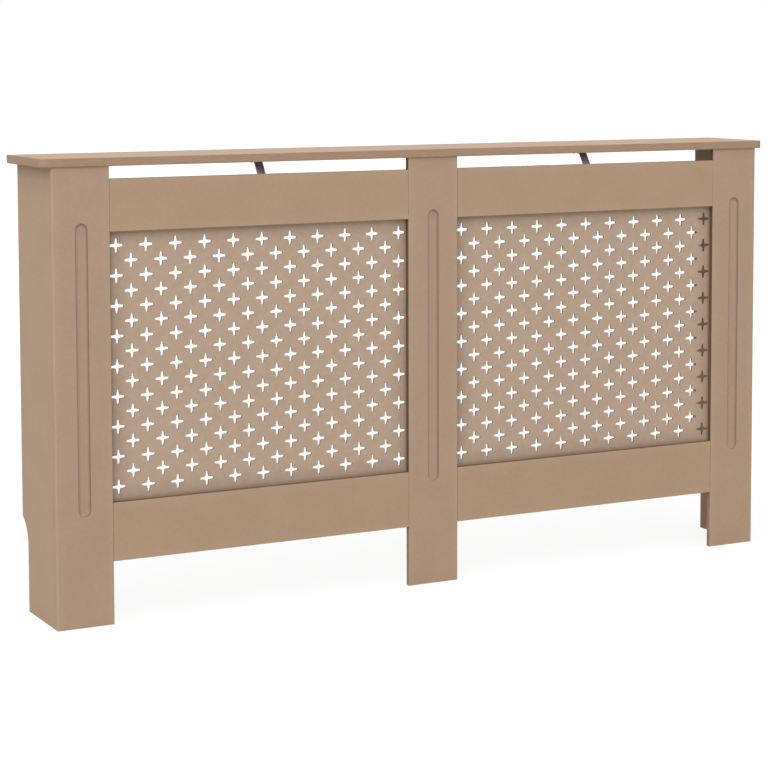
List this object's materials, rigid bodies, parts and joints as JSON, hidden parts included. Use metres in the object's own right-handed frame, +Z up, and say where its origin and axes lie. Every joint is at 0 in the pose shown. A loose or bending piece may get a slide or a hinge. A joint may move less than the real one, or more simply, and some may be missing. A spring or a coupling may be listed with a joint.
{
  "type": "radiator cover cabinet",
  "caption": "Long low fibreboard radiator cover: shelf top over a fluted-post front frame with star-pierced grille bays, notched side panels and an open back.",
  "frame": {"origin": "on the floor, under the middle of the top board's outline", "axes": "+X along the length, from the left end to the right end seen from the front; +Y from the front to the open back; +Z up"},
  "size_m": [1.52, 0.19, 0.82],
  "materials": {
    "board_top": "unpainted sanded fibreboard, matt",
    "board_side": "unpainted sanded fibreboard, matt",
    "board_frame": "unpainted sanded fibreboard, matt, with darker machined edges",
    "grille_sheet": "unpainted thin hard fibreboard, slightly speckled",
    "strap_steel": "dark oiled steel strap",
    "zinc_steel": "zinc-plated pressed steel",
    "screw_steel": "zinc-plated screws and pins",
    "dowel_wood": "plain beech"
  },
  "bodies": {
    "root": {"top_board": "board_top", "side_panel_left": "board_side", "side_panel_right": "board_side", "post_left": "board_frame", "post_centre": "board_frame", "post_right": "board_frame", "rail_top_left": "board_frame", "rail_top_right": "board_frame", "rail_bottom_left": "board_frame", "rail_bottom_right": "board_frame", "grille_left": "grille_sheet", "grille_right": "grille_sheet", "top_brace_left": "strap_steel", "top_brace_right": "strap_steel", "corner_brackets_left": "zinc_steel", "corner_brackets_right": "zinc_steel", "top_bracket_left": "zinc_steel", "top_bracket_centre": "zinc_steel", "top_bracket_right": "zinc_steel", "wall_bracket_left": "zinc_steel", "wall_bracket_right": "zinc_steel", "joint_plates_left": "zinc_steel", "joint_plates_right": "zinc_steel", "corner_bracket_screws": "screw_steel", "top_bracket_screws": "screw_steel", "wall_bracket_screws": "screw_steel", "joint_plate_screws": "screw_steel", "brace_screws": "screw_steel", "grille_pins_left": "screw_steel", "grille_pins_right": "screw_steel", "rail_dowels": "dowel_wood", "side_dowels": "dowel_wood", "top_dowels": "dowel_wood"}
  },
  "joints": []
}
